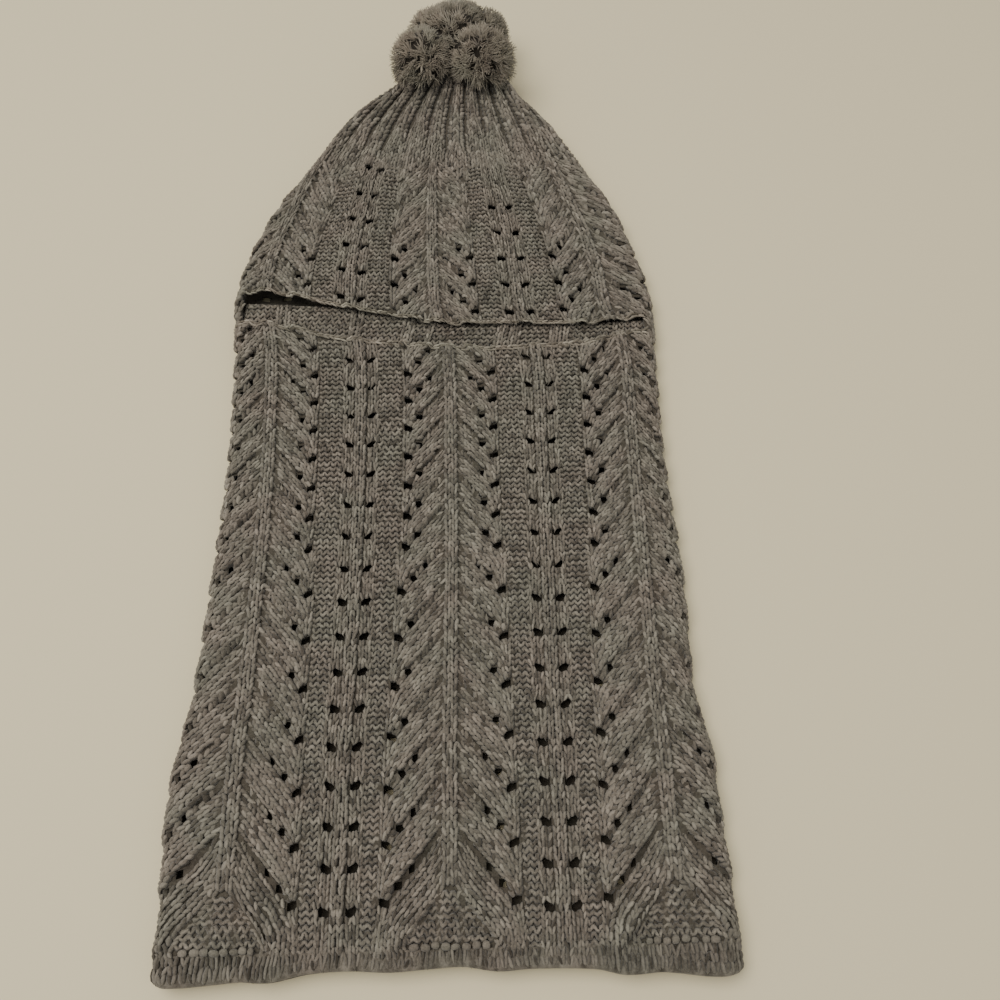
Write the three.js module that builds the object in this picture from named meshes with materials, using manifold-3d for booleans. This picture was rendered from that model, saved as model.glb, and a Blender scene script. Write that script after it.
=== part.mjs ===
// Snood hood: a knitted cowl and hood in one tube, lying flat on its back, with a pompom on the crown.
// Millimetres. X runs across the cloth, Y from the hem to the pompom, Z up from the surface it lies on.
import * as THREE from 'three';
import { mergeVertices } from 'three/addons/utils/BufferGeometryUtils.js';
import Module from 'manifold-3d';

// Driving dimensions
const COWL_LENGTH = 345; // hem edge to the middle of the face opening
const HOOD_LENGTH = 205; // middle of the face opening to the closed tip of the crown
const HALF_WIDTH = 122.5; // centre line to the side fold, where the cloth runs straight
const BODY_THICKNESS = 15; // both layers and the hollow between them, lying flat
const WALL = 4; // knitted wall
const FACE_GAP = 17; // height of the face opening at the centre
const SLIT_END_MARGIN = 6; // side fold left whole at each end of the face opening
const BRIM_LIFT = 4; // how far the brim stands up off the layer below
const CROWN_SEAM = 111.3; // middle of the face opening to the first round of the gathered crown
const HEM_HEIGHT = 14; // turned hem
const HEM_PROUD = 0.9; // how far the hem stands out from the wall
const HEM_WAVE = 7; // depth of the waves in the hem's lower edge
const EDGING_WIDTH = 3.2; // bind-off edges of the face opening
const EDGING_PROUD = 0.8; // how far those edges stand above the wall
const STITCH_WIDTH = 3.65; // one knitted column across the front
const EYELET_PITCH = 18.5; // from one eyelet of a twin column to the next, six rows
const EYELET_SIZE = 4.2; // across one eyelet
const FERN_PITCH_LOW = 25; // from one fern leaf to the next in the lower cowl, eight rows
const FERN_PITCH_HIGH = 18; // the same above, six rows
const FERN_LOW_LENGTH = 200; // length of cowl that has the longer leaves
const HOOD_FERN_PITCH = 20; // the same in the hood
const HOOD_FERN_START = 13.5; // middle of the face opening to the hood's first leaf
const HOOD_EYELET_PITCH = 20.5; // twin eyelets of the hood
const LEAF_DROP = 28; // how far a leaf runs down from its spine to its tip
const LEAF_EDGE = 3.5; // width of the raised lower edge of a leaf
const RIB_RISE = 1.3; // relief of the spines and twin columns
const LEAF_RISE = 1.7; // relief of a leaf's raised lower edge
const PLEAT_RISE = 2.2; // depth of the pleats at the crown
const POMPOM_WIDTH = 82;
const POMPOM_LENGTH = 60;
const POMPOM_HEIGHT = 53;
const POMPOM_SEAT = 11; // how far the crown's tip reaches into the pompom
const POMPOM_BULGE = 0.56; // share of its height from its widest level to its top
const LOCK_COUNT = 34; // locks of yarn on the pompom
const LOCK_RADIUS = 11.5; // a lock at its widest
const CLEARANCE = 0.3; // gap between neighbouring pieces

const HEM_RIBS = 28; // ribs round the hem
const FACE_STATIONS = 18; // steps across the face opening

// Knitting chart, in stitches from the front centre spine; the tube is five repeats round
const HALF_REPEAT = 14;
const REPEAT = 2 * HALF_REPEAT;
const HALF_ROUND = 5 * HALF_REPEAT;
const FRONT_STITCHES = 2.75 * HALF_REPEAT;
const LEAF_TIP = 0.536 * HALF_REPEAT;
const TWIN_EYELET = 0.893 * HALF_REPEAT;

// Outline of the cloth. along: share of the cowl's or the hood's length; left, right: side folds and
// spine: the centre line, as shares of HALF_WIDTH; base: underside above the surface and thick: both
// layers, as shares of BODY_THICKNESS; gauge: share of STITCH_WIDTH; pleat: share of PLEAT_RISE.
const COWL_SECTIONS = [
  { along: 0.00, left: 1.085, right: 1.065, spine: 0, base: 0, thick: 1, gauge: 1, pleat: 0 },
  { along: 0.11, left: 1.090, right: 1.060, spine: 0, base: 0, thick: 1, gauge: 1, pleat: 0 },
  { along: 0.22, left: 1.105, right: 1.048, spine: 0, base: 0, thick: 1, gauge: 1, pleat: 0 },
  { along: 0.30, left: 1.087, right: 1.040, spine: 0, base: 0, thick: 1, gauge: 1, pleat: 0 },
  { along: 0.37, left: 1.053, right: 0.998, spine: 0, base: 0, thick: 1, gauge: 1, pleat: 0 },
  { along: 0.55, left: 1.023, right: 1.003, spine: 0, base: 0, thick: 1, gauge: 1, pleat: 0 },
  { along: 0.76, left: 1.004, right: 0.976, spine: 0, base: 0, thick: 1, gauge: 1, pleat: 0 },
  { along: 0.96, left: 1.022, right: 0.986, spine: -0.01, base: 0, thick: 1, gauge: 0.99, pleat: 0 },
];
const HOOD_SECTIONS = [
  { along: 0.06, left: 1.040, right: 0.998, spine: -0.06, base: 0, thick: 1.06, gauge: 0.97, pleat: 0 },
  { along: 0.18, left: 1.030, right: 0.975, spine: -0.075, base: 0, thick: 1.10, gauge: 0.96, pleat: 0 },
  { along: 0.33, left: 0.969, right: 0.911, spine: -0.082, base: 0, thick: 1.12, gauge: 0.91, pleat: 0.1 },
  { along: 0.44, left: 0.903, right: 0.856, spine: -0.082, base: 0, thick: 1.14, gauge: 0.84, pleat: 0.2 },
  { along: 0.56, left: 0.798, right: 0.756, spine: -0.080, base: 0, thick: 1.18, gauge: 0.76, pleat: 0.4 },
  { along: 0.68, left: 0.680, right: 0.643, spine: -0.065, base: 0.04, thick: 1.26, gauge: 0.66, pleat: 0.6 },
  { along: 0.80, left: 0.531, right: 0.521, spine: -0.040, base: 0.14, thick: 1.40, gauge: 0.53, pleat: 0.8 },
  { along: 0.93, left: 0.320, right: 0.360, spine: 0.010, base: 0.42, thick: 1.46, gauge: 0.36, pleat: 1 },
  { along: 1.00, left: 0.130, right: 0.200, spine: 0.035, base: 0.90, thick: 0.98, gauge: 0.20, pleat: 1 },
];

// Relief from a spine to a twin column. at: share of HALF_REPEAT; rib: share of RIB_RISE; leaf: share
// of LEAF_RISE
const CHART = [
  { at: 0, rib: 1, leaf: 0 },
  { at: 0.107, rib: -0.2, leaf: 0.2 },
  { at: 0.536, rib: 0, leaf: 1 },
  { at: 0.643, rib: -0.4, leaf: 0 },
  { at: 0.843, rib: -0.4, leaf: 0 },
  { at: 0.929, rib: 1, leaf: 0 },
  { at: 1, rib: 0.6, leaf: 0 },
];

// Columns of the side fold and the back, in half repeats from the front centre spine
const FOLD_COLUMNS = [2.107, 2.25, 2.357, 2.464, 2.571, 2.75];
const BACK_COLUMNS = [3.857];

// Face opening. across: share of HALF_WIDTH from the centre; neck, brim: how far the cowl's and the
// hood's edge lie above their plain straight lines, as shares of FACE_GAP; lift: share of BRIM_LIFT
const FACE_EDGES = [
  { across: -1.10, neck: 0.94, brim: 1.09, lift: 1.0 },
  { across: -0.92, neck: 1.06, brim: 1.32, lift: 1.0 },
  { across: -0.75, neck: 0.83, brim: 1.20, lift: 0.9 },
  { across: -0.50, neck: 0.35, brim: 0.79, lift: 0.6 },
  { across: -0.22, neck: 0.12, brim: 0.26, lift: 0.4 },
  { across: 0.00, neck: -0.09, brim: -0.15, lift: 0.35 },
  { across: 0.30, neck: -0.11, brim: -0.20, lift: 0.35 },
  { across: 0.65, neck: 0.06, brim: -0.30, lift: 0.3 },
  { across: 0.90, neck: 0.40, brim: -0.18, lift: 0.2 },
  { across: 1.08, neck: 0.55, brim: -0.06, lift: 0.1 },
];

// Lower edge of the hem. across: share of HALF_WIDTH; rise: share of HEM_WAVE above the lowest point
const HEM_EDGE = [
  { across: -1.12, rise: 0.45 },
  { across: -0.98, rise: 0.05 },
  { across: -0.70, rise: 0.30 },
  { across: -0.40, rise: 0.72 },
  { across: -0.05, rise: 1.00 },
  { across: 0.25, rise: 0.62 },
  { across: 0.52, rise: 0.74 },
  { across: 0.65, rise: 0.25 },
  { across: 0.78, rise: 0.40 },
  { across: 0.95, rise: 0.00 },
  { across: 1.10, rise: 0.50 },
];

const wasm = await Module();
wasm.setup();

function readTable(rows, key, value, column) {
  const last = rows.length - 1;
  if (value <= rows[0][key]) return rows[0][column];
  if (value >= rows[last][key]) return rows[last][column];
  let i = 0;
  while (rows[i + 1][key] < value) i += 1;
  const before = rows[Math.max(i - 1, 0)];
  const from = rows[i];
  const to = rows[i + 1];
  const after = rows[Math.min(i + 2, last)];
  const span = to[key] - from[key];
  const t = (value - from[key]) / span;
  const slopeFrom = ((to[column] - before[column]) / (to[key] - before[key])) * span;
  const slopeTo = ((after[column] - from[column]) / (after[key] - from[key])) * span;
  const rise = to[column] - from[column];
  const bend = slopeFrom + slopeTo - 2 * rise;
  return from[column] + t * (slopeFrom + t * (rise - slopeFrom + (t - 1) * bend));
}

const OUTLINE = [
  ...COWL_SECTIONS.map((row) => ({ ...row, y: row.along * COWL_LENGTH })),
  ...HOOD_SECTIONS.map((row) => ({ ...row, y: COWL_LENGTH + row.along * HOOD_LENGTH })),
];

function sectionAt(y) {
  const read = (column) => readTable(OUTLINE, 'y', y, column);
  return {
    left: read('left') * HALF_WIDTH,
    right: read('right') * HALF_WIDTH,
    spine: read('spine') * HALF_WIDTH,
    base: read('base') * BODY_THICKNESS,
    thick: read('thick') * BODY_THICKNESS,
    gauge: read('gauge') * STITCH_WIDTH,
    pleat: read('pleat') * PLEAT_RISE,
  };
}

const faceEdge = (x, column) => readTable(FACE_EDGES, 'across', x / HALF_WIDTH, column);
const neckline = (x) => COWL_LENGTH + (faceEdge(x, 'neck') - 0.5) * FACE_GAP;
const brimline = (x) => COWL_LENGTH + (faceEdge(x, 'brim') + 0.5) * FACE_GAP;

// Height that the front layer of the hood gains towards its free brim
function brimLift(x, y) {
  const above = (y - brimline(x)) / (0.3 * HOOD_LENGTH);
  const faded = above > 0 ? 1 - above * above * (3 - 2 * above) : 1 + 4 * above;
  return above > 1 ? 0 : faceEdge(x, 'lift') * BRIM_LIFT * Math.max(faded, 0);
}

// Point of the cloth's ring at one stitch and height. grow moves it outwards, but never below the
// flat underside that the cloth lies on.
function ringPoint(stitch, y, grow) {
  const { left, right, spine, base, thick, gauge } = sectionAt(y);
  const radius = thick / 2;
  const side = Math.sign(stitch) || 1;
  const front = side > 0 ? right - radius - spine : left - radius + spine;
  const halfRound = left + right - thick + Math.PI * radius;
  const arcs = [
    { stitch: 0, arc: 0 },
    { stitch: REPEAT, arc: REPEAT * gauge },
    { stitch: FRONT_STITCHES, arc: front + Math.PI * radius },
    { stitch: HALF_ROUND, arc: halfRound },
  ];
  const after = arcs.findIndex((row) => row.stitch >= Math.abs(stitch) && row.stitch > 0);
  const [from, to] = [arcs[after - 1], arcs[after]];
  const share = (Math.abs(stitch) - from.stitch) / (to.stitch - from.stitch);
  const arc = from.arc + share * (to.arc - from.arc);
  const angle = Math.min(Math.max((arc - front) / radius, 0), Math.PI);
  const under = Math.max(arc - front - Math.PI * radius, 0);
  const reach = radius + grow;
  const x = spine + side * (Math.min(arc, front) - under + reach * Math.sin(angle));
  const lift = Math.max(Math.cos(angle), 0) * brimLift(x, y);
  return new THREE.Vector3(x, y, Math.max(base + radius + reach * Math.cos(angle) + lift, 0));
}

function toSolid(geometry) {
  const bare = geometry.clone();
  bare.deleteAttribute('normal');
  bare.deleteAttribute('uv');
  const merged = mergeVertices(bare, 1e-4);
  const mesh = new wasm.Mesh({
    numProp: 3,
    vertProperties: new Float32Array(merged.attributes.position.array),
    triVerts: new Uint32Array(merged.index.array),
  });
  return new wasm.Manifold(mesh);
}

// The largest body that a join or cut leaves, as a mesh of its own
function toMesh(name, solid, material) {
  const [body] = solid.decompose().sort((a, b) => b.volume() - a.volume());
  const { vertProperties, triVerts } = body.getMesh();
  const geometry = new THREE.BufferGeometry();
  geometry.setAttribute('position', new THREE.BufferAttribute(new Float32Array(vertProperties), 3));
  geometry.setIndex(new THREE.BufferAttribute(new Uint32Array(triVerts), 1));
  geometry.computeVertexNormals();
  const mesh = new THREE.Mesh(geometry, material);
  mesh.name = name;
  return mesh;
}

// Closed solid through a row of rings, each joined to the next. A loop comes back to its first ring;
// otherwise the two ends are closed by a fan.
function loft(rings, loop = false) {
  const around = rings[0].length;
  const points = rings.flat();
  const faces = [];
  for (let i = 0; i < rings.length - (loop ? 0 : 1); i += 1) {
    const next = ((i + 1) % rings.length) * around;
    for (let j = 0; j < around; j += 1) {
      const k = (j + 1) % around;
      faces.push(i * around + j, i * around + k, next + k);
      faces.push(i * around + j, next + k, next + j);
    }
  }
  if (!loop) {
    const last = (rings.length - 1) * around;
    const centre = (ring) => ring.reduce((sum, p) => sum.add(p), new THREE.Vector3()).divideScalar(around);
    const first = points.push(centre(rings[0])) - 1;
    const end = points.push(centre(rings[rings.length - 1])) - 1;
    for (let j = 0; j < around; j += 1) {
      const k = (j + 1) % around;
      faces.push(first, k, j);
      faces.push(end, last + j, last + k);
    }
  }
  const geometry = new THREE.BufferGeometry().setFromPoints(points);
  geometry.setIndex(faces);
  return toSolid(geometry);
}

// Stitches counted from the nearest spine: 0 on it, half a repeat on a twin column
const fromSpine = (stitch) => Math.abs(((stitch + 7 * HALF_REPEAT) % REPEAT) - HALF_REPEAT);
const narrowing = (y) => sectionAt(y).gauge / STITCH_WIDTH;

// Stitches of a row of columns on both sides, with the middle of the back first
function bothSides(columns) {
  const side = [...columns, ...FOLD_COLUMNS, ...BACK_COLUMNS].map((share) => share * HALF_REPEAT);
  return [-HALF_ROUND, ...side.filter((s) => s > 0).reverse().map((s) => -s), ...side];
}

// Columns of the surface: the chart's own lines over the front, then the fold and the back
const chartLines = CHART.map((row) => row.at);
const mirrored = chartLines.slice(0, -1).map((at) => 2 - at).reverse();
const SURFACE_STITCHES = bothSides([...chartLines, ...mirrored]);
const PLAIN_STITCHES = bothSides([0, 1, 2]);

// Heights of the leaves' tips, from the hem to where the crown's pleats take over
function leafTips() {
  const tips = [HEM_HEIGHT + 2];
  for (let y = tips[0] + FERN_PITCH_HIGH; y < COWL_LENGTH; ) {
    tips.push(y);
    y += y < FERN_LOW_LENGTH ? FERN_PITCH_LOW : FERN_PITCH_HIGH;
  }
  let y = COWL_LENGTH + HOOD_FERN_START;
  while (y + LEAF_DROP * narrowing(y) < COWL_LENGTH + 0.74 * HOOD_LENGTH) {
    tips.push(y);
    y += HOOD_FERN_PITCH;
  }
  return tips;
}

// Height of a leaf's line at one stitch: highest on the spine, and level from the tip outwards
function leafLine(stitch, tip) {
  const along = (fromSpine(stitch) - 1) / (LEAF_TIP - 1);
  return tip + LEAF_DROP * narrowing(tip) * (1 - Math.min(Math.max(along, 0), 1));
}

function surfacePoint(stitch, y, leaf, grow) {
  const across = Math.abs(stitch);
  const chart = (column) => readTable(CHART, 'at', fromSpine(stitch) / HALF_REPEAT, column);
  const fade = Math.min(Math.max((FRONT_STITCHES - across) / 4, 0), 1);
  const rib = chart('rib') * (RIB_RISE + sectionAt(y).pleat);
  return ringPoint(stitch, y, grow + fade * (rib + chart('leaf') * leaf * LEAF_RISE * narrowing(y)));
}

// The knitted surface: two lines to each row of leaves, low in the crease and high on the leaf's
// edge, then level rings up the gathered crown
function knittedSurface(grow, bottom) {
  const level = (y) => SURFACE_STITCHES.map((s) => surfacePoint(s, y, 0, grow));
  const leafEdge = (tip, rise, leaf) => (s) => surfacePoint(s, leafLine(s, tip) + rise, leaf, grow);
  const rings = [level(bottom)];
  for (const tip of leafTips()) {
    rings.push(SURFACE_STITCHES.map(leafEdge(tip, 0, -0.4)));
    rings.push(SURFACE_STITCHES.map(leafEdge(tip, LEAF_EDGE, 1)));
  }
  for (const along of [0.80, 0.87, 0.93, 0.97, 1]) {
    rings.push(level(COWL_LENGTH + along * HOOD_LENGTH));
  }
  return loft(rings);
}

function hollow() {
  const top = COWL_LENGTH + 0.85 * HOOD_LENGTH;
  const heights = [-HEM_HEIGHT, ...OUTLINE.map((row) => row.y).filter((y) => y < top)];
  for (const share of [-0.9, -0.3, 0.3, 1.8]) {
    heights.push(COWL_LENGTH + share * FACE_GAP);
  }
  heights.push(COWL_LENGTH + 0.88 * HOOD_LENGTH);
  heights.sort((a, b) => a - b);
  return loft(heights.map((y) => PLAIN_STITCHES.map((s) => ringPoint(s, Math.max(y, 0), -WALL).setY(y))));
}

// Stations across the face opening, between its two ends at the side folds
function faceStations(endMargin) {
  const { left, right } = sectionAt(COWL_LENGTH);
  const from = -left + SLIT_END_MARGIN + endMargin;
  const to = right - SLIT_END_MARGIN - endMargin;
  return Array.from({ length: FACE_STATIONS + 1 }, (_, i) => from + ((to - from) * i) / FACE_STATIONS);
}

// Height of the front layer's outer face over a point of the surface below
function frontTop(x, y) {
  const { left, right, base, thick } = sectionAt(y);
  const radius = thick / 2;
  const overFold = Math.max(x - right + radius, -left + radius - x, 0);
  return base + radius + Math.sqrt(Math.max(radius * radius - overFold * overFold, 0)) + brimLift(x, y);
}

function faceOpening() {
  const { base, thick } = sectionAt(COWL_LENGTH);
  const margin = EDGING_WIDTH + CLEARANCE;
  const floor = base + thick / 2;
  const ceiling = thick + 3 * BRIM_LIFT;
  return loft(faceStations(0).map((x) => [
    new THREE.Vector3(x, brimline(x) + margin, ceiling),
    new THREE.Vector3(x, neckline(x) - margin, ceiling),
    new THREE.Vector3(x, neckline(x) - margin, floor),
    new THREE.Vector3(x, brimline(x) + margin, floor),
  ]));
}

// Rounded bind-off edge that follows one side of the face opening
function edging(lineAt, towards) {
  const profile = [
    { out: 0.75, up: 1 },
    { out: 0.25, up: 1 },
    { out: 0, up: 0.6 },
    { out: 0, up: 0.15 },
    { out: 0.3, up: 0 },
    { out: 1, up: 0 },
    { out: 1, up: 0.75 },
  ];
  const ordered = towards > 0 ? profile : profile.reverse();
  return loft(faceStations(CLEARANCE).map((x) => {
    const y = lineAt(x);
    const top = frontTop(x, y + 0.5 * towards * EDGING_WIDTH);
    return ordered.map(({ out, up }) => {
      const height = top - WALL + up * (WALL + EDGING_PROUD);
      return new THREE.Vector3(x, y + towards * out * EDGING_WIDTH, height);
    });
  }));
}

// Diamond-shaped cutter for one eyelet, through the front layer alone
function eyeletCutter(stitch, y) {
  const { base, thick } = sectionAt(y);
  const { x } = ringPoint(stitch, y, 0);
  const height = thick + BRIM_LIFT;
  const geometry = new THREE.CylinderGeometry(EYELET_SIZE / 2, EYELET_SIZE / 2, height, 4);
  geometry.rotateX(Math.PI / 2);
  geometry.translate(x, y, base + thick / 2 + height / 2);
  return toSolid(geometry);
}

function eyelets() {
  const cutters = [];
  const space = EDGING_WIDTH + EYELET_SIZE;
  for (const stitch of [TWIN_EYELET - REPEAT, -TWIN_EYELET, TWIN_EYELET, REPEAT - TWIN_EYELET]) {
    const reach = ringPoint(stitch, COWL_LENGTH, 0).x;
    for (let y = 2.2 * HEM_HEIGHT; y < neckline(reach) - space; y += EYELET_PITCH) {
      cutters.push(eyeletCutter(stitch, y));
    }
    for (let y = brimline(reach) + space; y < COWL_LENGTH + 0.68 * HOOD_LENGTH; y += HOOD_EYELET_PITCH) {
      cutters.push(eyeletCutter(stitch, y));
    }
  }
  for (const tip of leafTips().slice(1).filter((y) => y < neckline(0) - space)) {
    cutters.push(eyeletCutter(-LEAF_TIP, tip));
    cutters.push(eyeletCutter(LEAF_TIP, tip));
  }
  return cutters;
}

function hemBand() {
  const profile = [
    { along: 1, grow: 0.4 * HEM_PROUD },
    { along: 0.55, grow: HEM_PROUD },
    { along: 0.15, grow: 0.8 * HEM_PROUD },
    { along: 0, grow: -0.3 * WALL },
    { along: 0, grow: -0.7 * WALL },
    { along: 0.2, grow: -WALL },
    { along: 1, grow: -WALL },
  ];
  const columns = [];
  for (let stitch = -HALF_ROUND; stitch < HALF_ROUND; stitch += HALF_ROUND / HEM_RIBS) {
    const rib = columns.length % 2 === 0 ? 0 : -0.5 * HEM_PROUD;
    const { x } = ringPoint(stitch, HEM_HEIGHT, 0);
    const low = readTable(HEM_EDGE, 'across', x / HALF_WIDTH, 'rise') * HEM_WAVE;
    columns.push(profile.map(({ along, grow }) => {
      const y = low + along * (HEM_HEIGHT - low);
      return ringPoint(stitch, y, grow > 0 ? grow + rib : grow);
    }));
  }
  return loft(columns, true);
}

// Distance from the pompom's centre to its surface in a direction: three lobes with creases between
function lobeReach(direction) {
  const lobes = [[-0.85, -0.25, 0.45], [0.85, -0.2, 0.45], [0.05, 0.75, 0.65]];
  const along = lobes.map(([x, y, z]) => direction.dot(new THREE.Vector3(x, y, z).normalize()));
  return 0.86 + 0.14 * Math.min(Math.max(...along, 0) * 1.25, 1);
}

function pompom(seat) {
  const half = new THREE.Vector3(POMPOM_WIDTH / 2, POMPOM_LENGTH / 2, POMPOM_HEIGHT * POMPOM_BULGE);
  const head = new THREE.SphereGeometry(0.8, 10, 7);
  const parts = [toSolid(head.scale(half.x, half.y, half.z))];
  const golden = Math.PI * (3 - Math.sqrt(5));
  for (let i = 0; i < LOCK_COUNT; i += 1) {
    const z = 1 - (2 * i + 1) / LOCK_COUNT;
    const ring = Math.sqrt(1 - z * z);
    const direction = new THREE.Vector3(ring * Math.cos(golden * i), ring * Math.sin(golden * i), z);
    const tip = direction.clone().multiply(half).multiplyScalar(lobeReach(direction));
    const length = 0.6 * tip.length();
    const lock = new THREE.CylinderGeometry(LOCK_RADIUS * 0.66, LOCK_RADIUS, length, 5);
    const up = new THREE.Vector3(0, 1, 0);
    lock.translate(0, -length / 2, 0);
    lock.applyQuaternion(new THREE.Quaternion().setFromUnitVectors(up, tip.clone().normalize()));
    lock.translate(tip.x, tip.y, tip.z);
    parts.push(toSolid(lock));
  }
  const tipRing = sectionAt(COWL_LENGTH + HOOD_LENGTH);
  const y = COWL_LENGTH + HOOD_LENGTH - POMPOM_SEAT + half.y;
  const level = POMPOM_HEIGHT - half.z;
  const ball = wasm.Manifold.union(parts).translate([tipRing.spine, y, level]);
  const floor = new THREE.BoxGeometry(3 * POMPOM_WIDTH, 3 * POMPOM_LENGTH, POMPOM_HEIGHT);
  floor.translate(tipRing.spine, y, -POMPOM_HEIGHT / 2);
  return ball.subtract(toSolid(floor)).subtract(seat);
}

const yarn = (color) => new THREE.MeshStandardMaterial({ color, roughness: 0.95, metalness: 0 });

const surface = knittedSurface(0, HEM_HEIGHT + CLEARANCE);
const cloth = wasm.Manifold.difference([surface, hollow(), faceOpening(), ...eyelets()]);
const seam = COWL_LENGTH + CROWN_SEAM;
const tube = cloth.trimByPlane([0, -1, 0], CLEARANCE / 2 - seam);
const crown = cloth.trimByPlane([0, 1, 0], seam + CLEARANCE / 2);
const hood = new THREE.Group();
hood.add(toMesh('knit_tube', tube, yarn(0x83807a)));
hood.add(toMesh('crown', crown, yarn(0x83807a)));
hood.add(toMesh('hem_band', hemBand(), yarn(0x7b7872)));
hood.add(toMesh('brim_edging', edging(brimline, 1), yarn(0x8b8882)));
hood.add(toMesh('neckline_edging', edging(neckline, -1), yarn(0x8b8882)));
hood.add(toMesh('pompom', pompom(knittedSurface(CLEARANCE, COWL_LENGTH)), yarn(0x86827c)));

// The origin is under the middle of the whole object, on the surface it lies on
const box = new THREE.Box3().setFromObject(hood);
const middle = box.getCenter(new THREE.Vector3());
hood.position.set(-middle.x, -middle.y, -box.min.z);
hood.updateMatrixWorld(true);

export default hood;
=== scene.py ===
import math

import bpy
import numpy as np
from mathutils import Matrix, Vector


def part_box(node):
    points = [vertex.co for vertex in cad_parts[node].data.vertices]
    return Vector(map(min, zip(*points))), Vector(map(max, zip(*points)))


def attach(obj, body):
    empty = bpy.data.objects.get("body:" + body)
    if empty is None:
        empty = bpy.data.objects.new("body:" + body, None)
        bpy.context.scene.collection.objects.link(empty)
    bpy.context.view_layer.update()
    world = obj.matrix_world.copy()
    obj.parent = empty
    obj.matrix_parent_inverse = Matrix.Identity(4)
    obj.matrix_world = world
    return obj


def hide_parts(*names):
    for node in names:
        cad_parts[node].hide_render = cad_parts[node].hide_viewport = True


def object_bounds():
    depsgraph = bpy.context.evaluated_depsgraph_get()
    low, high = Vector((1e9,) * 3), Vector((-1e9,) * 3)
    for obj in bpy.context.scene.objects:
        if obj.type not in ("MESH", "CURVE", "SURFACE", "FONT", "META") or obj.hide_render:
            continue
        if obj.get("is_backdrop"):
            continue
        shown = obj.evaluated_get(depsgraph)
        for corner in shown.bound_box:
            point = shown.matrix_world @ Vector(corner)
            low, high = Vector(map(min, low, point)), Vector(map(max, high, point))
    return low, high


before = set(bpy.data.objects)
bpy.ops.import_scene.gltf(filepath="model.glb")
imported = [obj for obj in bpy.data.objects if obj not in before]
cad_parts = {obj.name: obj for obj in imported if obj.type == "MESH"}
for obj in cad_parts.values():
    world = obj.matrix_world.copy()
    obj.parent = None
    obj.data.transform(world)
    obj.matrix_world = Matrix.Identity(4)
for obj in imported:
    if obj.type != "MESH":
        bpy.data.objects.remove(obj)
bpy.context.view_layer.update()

# Camera and studio: the camera stands over the hem, half a metre up, and looks down along the cloth.
# The floor is one pale sheet, lit by a large soft box overhead and an even room.
FRONT_LINE_X = 0.0024
CAMERA_ASIDE = 0.0217
CAMERA_BEHIND_HEM = 0.0026
CAMERA_HEIGHT = 0.501
CAMERA_LEAN = math.radians(90 - 64.5)
CAMERA_TURN = math.radians(-1.42)
SENSOR = 36.0
FLOOR_PAINT = "#F3EAC9"
FLOOR_SIZE = 6
ROOM_LIGHT = 0.5
SOFT_BOX_PLACE = (-0.50, -0.04, 1.6)
SOFT_BOX_TURN = (math.radians(2), math.radians(-17), 0)
SOFT_BOX_SIZE = 1.1
SOFT_BOX_WATTS = 19.6


def linear(hex_colour):
    """sRGB hex value as the linear colour that a shader socket holds."""
    parts = [int(hex_colour[i:i + 2], 16) / 255 for i in (1, 3, 5)]
    return [c / 12.92 if c <= 0.04045 else ((c + 0.055) / 1.055) ** 2.4 for c in parts] + [1.0]


def add_node(material, kind, settings=None, links=None):
    """One shader node: settings by socket or property name, links from other nodes' sockets."""
    node = material.node_tree.nodes.new(kind)
    for name, value in (settings or {}).items():
        if name in node.inputs:
            node.inputs[name].default_value = value
        else:
            setattr(node, name, value)
    for name, source in (links or {}).items():
        material.node_tree.links.new(source, node.inputs[name])
    return node


def new_material(name):
    material = bpy.data.materials.new(name)
    material.use_nodes = True
    material.node_tree.nodes.clear()
    return material


hem_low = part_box("hem_band")[0]
bpy.ops.object.select_all(action="DESELECT")
bpy.ops.object.camera_add(
    location=(FRONT_LINE_X + CAMERA_ASIDE, hem_low.y + CAMERA_BEHIND_HEM, CAMERA_HEIGHT),
    rotation=(CAMERA_LEAN, 0, CAMERA_TURN),
)
camera = bpy.context.object
camera.data.sensor_width = SENSOR
camera.data.lens = SENSOR
camera.data.clip_start = 0.01
bpy.context.scene.camera = camera

bpy.ops.mesh.primitive_plane_add(size=FLOOR_SIZE, location=(0, 0, 0))
floor = bpy.context.object
floor.name = "studio_floor"
bpy.ops.object.transform_apply(location=True, rotation=True, scale=True)
floor_material = new_material("painted board, matt")
floor_paint = add_node(floor_material, "ShaderNodeBsdfPrincipled", {
    "Base Color": linear(FLOOR_PAINT), "Roughness": 0.8, "IOR": 1.45,
})
add_node(floor_material, "ShaderNodeOutputMaterial", {}, {"Surface": floor_paint.outputs["BSDF"]})
floor.data.materials.append(floor_material)
floor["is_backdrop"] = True

world = bpy.data.worlds.new("even room")
bpy.context.scene.world = world
world.use_nodes = True
world.node_tree.nodes["Background"].inputs["Color"].default_value = linear("#F2EFE8")
world.node_tree.nodes["Background"].inputs["Strength"].default_value = ROOM_LIGHT
bpy.ops.object.light_add(type="AREA", location=SOFT_BOX_PLACE)
soft_box = bpy.context.object
soft_box.data.shape = "SQUARE"
soft_box.data.size = SOFT_BOX_SIZE
soft_box.data.energy = SOFT_BOX_WATTS
soft_box.data.color = linear("#FFF6E8")[:3]
soft_box.rotation_euler = SOFT_BOX_TURN

# Shape of the cloth: a tube of 140 knitted columns, laid flat on its back. Every piece of knitting
# below is placed on it by column, height above the hem and rise off its surface, in millimetres.
COWL = 345.0
HOOD = 205.0
HALF_WIDTH = 122.5
THICK = 15.0
FACE_GAP = 17.0
BRIM_LIFT = 4.0
BACK_SWELL = 5.0
STRIP_RISE = 2.4
HEM = 14.0
GAUGE = 3.65
REPEAT = 28
HALF_ROUND = 70
FOLDED = 38.5
FRONT_LINE = FRONT_LINE_X * 1000
HEM_LINE = hem_low.y * 1000

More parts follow.
